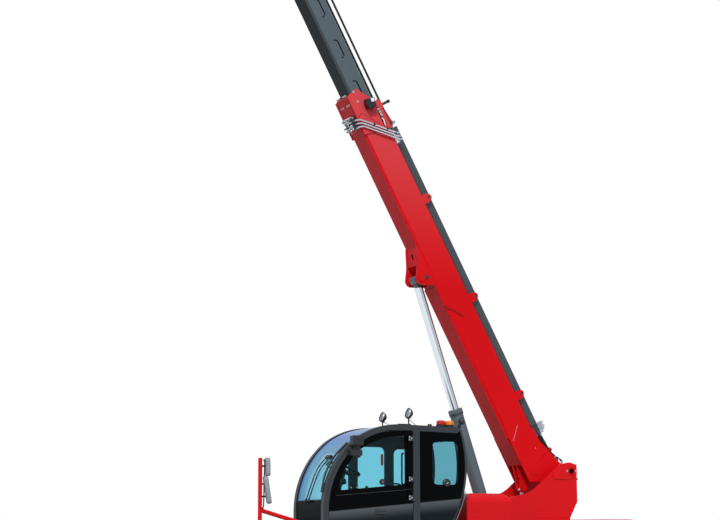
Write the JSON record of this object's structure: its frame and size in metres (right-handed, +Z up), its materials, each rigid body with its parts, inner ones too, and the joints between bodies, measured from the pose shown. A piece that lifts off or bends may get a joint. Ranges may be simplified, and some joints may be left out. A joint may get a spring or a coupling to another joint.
{
  "type": "rotating telehandler",
  "caption": "Rotating telehandler with a slewing cab turret, a raised telescopic boom with forks, steered axles and stabiliser legs.",
  "frame": {"origin": "on the ground under the middle of the machine's bounding box, as parked with the boom raised", "axes": "+X forward along the carrier, +Y towards the cab side, +Z up"},
  "size_m": [7.9034, 2.6234, 10.4454],
  "materials": {
    "red_paint": "glossy enamel",
    "grey_paint": "satin enamel",
    "dark_paint": "satin enamel",
    "iron": "painted casting",
    "chrome": "polished",
    "tyre": "matt",
    "clear_glass": "tinted",
    "black_plastic": "grained",
    "seat_cloth": "woven",
    "lamp_lens": "clear",
    "beacon_lens": "moulded",
    "rim_paint": "satin"
  },
  "bodies": {
    "chassis": {"chassis_frame": "dark_paint", "axles": "iron", "mudguards": "black_plastic", "side_tanks": "dark_paint", "chassis_lamps": "lamp_lens"},
    "turret": {"turret_cheeks": "red_paint", "turret_deck": "red_paint", "counterweight": "red_paint", "rear_cowl": "red_paint", "engine_hood": "red_paint", "engine_block": "iron", "exhaust": "iron", "cab_shell": "grey_paint", "windscreen": "clear_glass", "cab_windows": "clear_glass", "seat": "seat_cloth", "controls": "black_plastic", "mirrors": "red_paint", "work_lamps": "black_plastic", "beacons": "beacon_lens"},
    "door": {"cab_door": "grey_paint", "door_glass": "clear_glass"},
    "boom": {"outer_section": "red_paint", "hose_tray": "black_plastic", "boom_pipes": "chrome"},
    "boom_mid": {"mid_section": "grey_paint", "mid_pipes": "dark_paint"},
    "boom_tip": {"tip_section": "grey_paint"},
    "fork_frame": {"fork_carriage": "grey_paint", "forks": "dark_paint"},
    "lift_barrel_body": {"lift_barrel": "grey_paint"},
    "lift_rod_body": {"lift_rod": "chrome"},
    "level_barrel_body": {"level_barrel": "grey_paint"},
    "level_rod_body": {"level_rod": "chrome"},
    "tilt_barrel_body": {"tilt_barrel": "grey_paint"},
    "tilt_rod_body": {"tilt_rod": "chrome"},
    "knuckle_body_front_left": {"knuckle_front_left": "iron"},
    "wheel_front_left": {"rim_front_left": "rim_paint", "tyre_front_left": "tyre"},
    "stabiliser_body_front_left": {"stabiliser_front_left": "grey_paint"},
    "knuckle_body_front_right": {"knuckle_front_right": "iron"},
    "wheel_front_right": {"rim_front_right": "rim_paint", "tyre_front_right": "tyre"},
    "stabiliser_body_front_right": {"stabiliser_front_right": "grey_paint"},
    "knuckle_body_rear_left": {"knuckle_rear_left": "iron"},
    "wheel_rear_left": {"rim_rear_left": "rim_paint", "tyre_rear_left": "tyre"},
    "stabiliser_body_rear_left": {"stabiliser_rear_left": "grey_paint"},
    "knuckle_body_rear_right": {"knuckle_rear_right": "iron"},
    "wheel_rear_right": {"rim_rear_right": "rim_paint", "tyre_rear_right": "tyre"},
    "stabiliser_body_rear_right": {"stabiliser_rear_right": "grey_paint"}
  },
  "joints": [
    {"name": "slew", "type": "hinge", "parent": "chassis", "child": "turret", "pos_m": [-1.32172, 0, 1.24069], "axis": [0, 0, 1], "continuous": true},
    {"name": "boom_lift", "type": "hinge", "parent": "turret", "child": "boom", "pos_m": [-3.27172, 0, 2.55069], "axis": [0, -1, 0], "range_deg": [-64.8, 5]},
    {"name": "boom_extend", "type": "slide", "parent": "boom", "child": "boom_mid", "axis": [0.4726, 0, 0.8813], "range_m": [-1.6, 2.4]},
    {"name": "tip_extend", "type": "slide", "parent": "boom_mid", "child": "boom_tip", "axis": [0.4726, 0, 0.8813], "range_m": [-1.6, 2.4]},
    {"name": "fork_tilt", "type": "hinge", "parent": "boom_tip", "child": "fork_frame", "pos_m": [2.56172, 0, 9.97538], "axis": [0, 1, 0], "range_deg": [-77, 20]},
    {"name": "lift_swing", "type": "hinge", "parent": "turret", "child": "lift_barrel_body", "pos_m": [-2.51172, 0, 1.38069], "axis": [0, -1, 0], "range_deg": [-60.38, 4.66]},
    {"name": "lift_stroke", "type": "slide", "parent": "lift_barrel_body", "child": "lift_rod_body", "axis": [0.3143, 0, 0.9493], "range_m": [-1.4799, 0.1142]},
    {"name": "level_swing", "type": "hinge", "parent": "turret", "child": "level_barrel_body", "pos_m": [-2.82172, 0, 1.38069], "axis": [0, -1, 0], "range_deg": [-2.82, 36.59]},
    {"name": "level_stroke", "type": "slide", "parent": "level_barrel_body", "child": "level_rod_body", "axis": [0.0377, 0, 0.9993], "range_m": [-0.18121, 0.01399]},
    {"name": "tilt_swing", "type": "hinge", "parent": "boom_tip", "child": "tilt_barrel_body", "pos_m": [1.56228, 0, 10.2276], "axis": [0, 1, 0], "range_deg": [-4.39, 16.88]},
    {"name": "tilt_stroke", "type": "slide", "parent": "tilt_barrel_body", "child": "tilt_rod_body", "axis": [0.9978, 0, 0.0663], "range_m": [-0.31114, 0.08082]},
    {"name": "door_hinge", "type": "hinge", "parent": "turret", "child": "door", "pos_m": [-0.71972, 1.211, 2.16169], "axis": [0, 0, 1], "range_deg": [0, 95]},
    {"name": "steer_front_left", "type": "hinge", "parent": "chassis", "child": "knuckle_body_front_left", "pos_m": [0.12828, 0.76, 0.59069], "axis": [0, 0, 1], "range_deg": [-35, 35]},
    {"name": "steer_front_right", "type": "hinge", "parent": "chassis", "child": "knuckle_body_front_right", "pos_m": [0.12828, -0.76, 0.59069], "axis": [0, 0, 1], "range_deg": [-35, 35]},
    {"name": "steer_rear_left", "type": "hinge", "parent": "chassis", "child": "knuckle_body_rear_left", "pos_m": [-2.77172, 0.76, 0.59069], "axis": [0, 0, 1], "range_deg": [-35, 35]},
    {"name": "steer_rear_right", "type": "hinge", "parent": "chassis", "child": "knuckle_body_rear_right", "pos_m": [-2.77172, -0.76, 0.59069], "axis": [0, 0, 1], "range_deg": [-35, 35]},
    {"name": "spin_front_left", "type": "hinge", "parent": "knuckle_body_front_left", "child": "wheel_front_left", "pos_m": [0.12828, 1, 0.59069], "axis": [0, 1, 0], "continuous": true},
    {"name": "spin_front_right", "type": "hinge", "parent": "knuckle_body_front_right", "child": "wheel_front_right", "pos_m": [0.12828, -1, 0.59069], "axis": [0, 1, 0], "continuous": true},
    {"name": "spin_rear_left", "type": "hinge", "parent": "knuckle_body_rear_left", "child": "wheel_rear_left", "pos_m": [-2.77172, 1, 0.59069], "axis": [0, 1, 0], "continuous": true},
    {"name": "spin_rear_right", "type": "hinge", "parent": "knuckle_body_rear_right", "child": "wheel_rear_right", "pos_m": [-2.77172, -1, 0.59069], "axis": [0, 1, 0], "continuous": true},
    {"name": "stabiliser_front_left", "type": "hinge", "parent": "chassis", "child": "stabiliser_body_front_left", "pos_m": [1.08328, 0.33, 0.64069], "axis": [-1, 0, 0], "range_deg": [0, 61]},
    {"name": "stabiliser_front_right", "type": "hinge", "parent": "chassis", "child": "stabiliser_body_front_right", "pos_m": [1.08328, -0.33, 0.64069], "axis": [1, 0, 0], "range_deg": [0, 61]},
    {"name": "stabiliser_rear_left", "type": "hinge", "parent": "chassis", "child": "stabiliser_body_rear_left", "pos_m": [-3.72672, 0.33, 0.64069], "axis": [-1, 0, 0], "range_deg": [0, 61]},
    {"name": "stabiliser_rear_right", "type": "hinge", "parent": "chassis", "child": "stabiliser_body_rear_right", "pos_m": [-3.72672, -0.33, 0.64069], "axis": [1, 0, 0], "range_deg": [0, 61]}
  ],
  "couplings": [
    {"joint": "tip_extend", "follows": "boom_extend", "ratio": 1},
    {"joint": "lift_swing", "follows": "boom_lift", "ratio": 0.93182},
    {"joint": "lift_stroke", "follows": "boom_lift", "m_per_rad": 1.3085},
    {"joint": "level_swing", "follows": "boom_lift", "ratio": -0.56466},
    {"joint": "level_stroke", "follows": "boom_lift", "m_per_rad": 0.16021},
    {"joint": "tilt_swing", "follows": "fork_tilt", "ratio": -0.21921},
    {"joint": "tilt_stroke", "follows": "fork_tilt", "m_per_rad": 0.23151},
    {"joint": "steer_front_right", "follows": "steer_front_left", "ratio": 1},
    {"joint": "steer_rear_right", "follows": "steer_rear_left", "ratio": 1}
  ]
}
